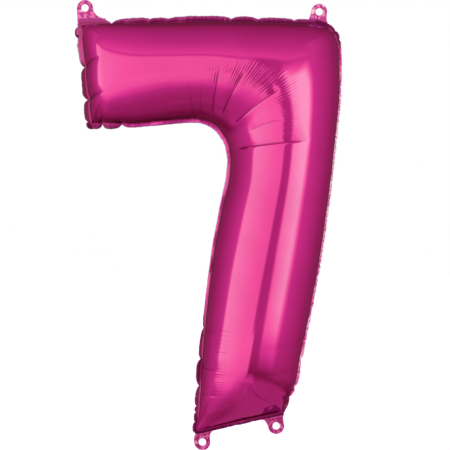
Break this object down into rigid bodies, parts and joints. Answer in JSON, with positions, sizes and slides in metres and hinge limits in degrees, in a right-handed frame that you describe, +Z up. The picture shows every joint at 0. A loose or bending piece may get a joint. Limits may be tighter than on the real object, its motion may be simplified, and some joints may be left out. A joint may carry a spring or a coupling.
{
  "type": "foil number balloon",
  "caption": "Inflated metallised-film balloon in the shape of the digit seven, welded round its outline, with a flat self-sealing filler valve and punched hanging tabs.",
  "frame": {"origin": "under the middle of the balloon's bounding box, level with the tip of its lowest tab, in the seam plane", "axes": "+Z up the digit, +X to the right as the digit is read, and the readable front faces -Y; the seam lies in the plane Y = 0"},
  "size_m": [0.3912, 0.158, 0.66],
  "materials": {
    "foil": "mirror-glossy metallised magenta film, finely crinkled along the seams",
    "sealant": "melted heat-seal layer between the films",
    "valve_film": "clear soft plastic film",
    "release_coat": "printed heat-resistant coat"
  },
  "bodies": {
    "envelope": {"front_panel": "foil", "back_panel": "foil", "seam_weld": "sealant", "valve_sleeve": "valve_film", "valve_release_coat": "release_coat"},
    "filler_neck": {"neck_front_film": "foil", "neck_back_film": "foil", "valve_mouth": "valve_film"},
    "valve_front_flap": {"valve_front_film": "valve_film"},
    "valve_back_flap": {"valve_back_film": "valve_film", "valve_side_weld_upper": "valve_film", "valve_side_weld_lower": "valve_film"},
    "tab_top_left": {"tab_top_left_front_film": "foil", "tab_top_left_weld": "sealant", "tab_top_left_back_film": "foil"},
    "tab_top_right": {"tab_top_right_front_film": "foil", "tab_top_right_weld": "sealant", "tab_top_right_back_film": "foil"},
    "tab_bottom_left": {"tab_bottom_left_front_film": "foil", "tab_bottom_left_weld": "sealant", "tab_bottom_left_back_film": "foil"},
    "tab_bottom_right": {"tab_bottom_right_front_film": "foil", "tab_bottom_right_weld": "sealant", "tab_bottom_right_back_film": "foil"}
  },
  "joints": [
    {"name": "tab_top_left_fold", "type": "hinge", "parent": "envelope", "child": "tab_top_left", "pos_m": [-0.1806, 0, 0.6321], "axis": [0.9994, 0, 0.0349], "range_deg": [-75, 75], "stiffness_Nm_per_rad": 0.0002},
    {"name": "tab_top_right_fold", "type": "hinge", "parent": "envelope", "child": "tab_top_right", "pos_m": [0.1602, 0, 0.6299], "axis": [0.9848, 0, -0.1736], "range_deg": [-75, 75], "stiffness_Nm_per_rad": 0.0002},
    {"name": "tab_bottom_left_fold", "type": "hinge", "parent": "envelope", "child": "tab_bottom_left", "pos_m": [-0.0118, 0, 0.024], "axis": [-0.9744, 0, -0.225], "range_deg": [-75, 75], "stiffness_Nm_per_rad": 0.0002},
    {"name": "tab_bottom_right_fold", "type": "hinge", "parent": "envelope", "child": "tab_bottom_right", "pos_m": [0.0963, 0, 0.0482], "axis": [-0.9744, 0, -0.225], "range_deg": [-75, 75], "stiffness_Nm_per_rad": 0.0002},
    {"name": "filler_neck_fold", "type": "hinge", "parent": "envelope", "child": "filler_neck", "pos_m": [-0.1909, 0, 0.614], "axis": [0, 0, 1], "range_deg": [0, 166], "stiffness_Nm_per_rad": 0.00005},
    {"name": "valve_front_flap_open", "type": "hinge", "parent": "envelope", "child": "valve_front_flap", "pos_m": [-0.1759, -0.0006, 0.614], "axis": [0, 0, -1], "range_deg": [0, 4], "stiffness_Nm_per_rad": 0.0005},
    {"name": "valve_back_flap_open", "type": "hinge", "parent": "envelope", "child": "valve_back_flap", "pos_m": [-0.1759, 0.0006, 0.614], "axis": [0, 0, 1], "range_deg": [0, 4], "stiffness_Nm_per_rad": 0.0005}
  ],
  "couplings": [
    {"joint": "valve_back_flap_open", "follows": "valve_front_flap_open", "ratio": 1}
  ]
}
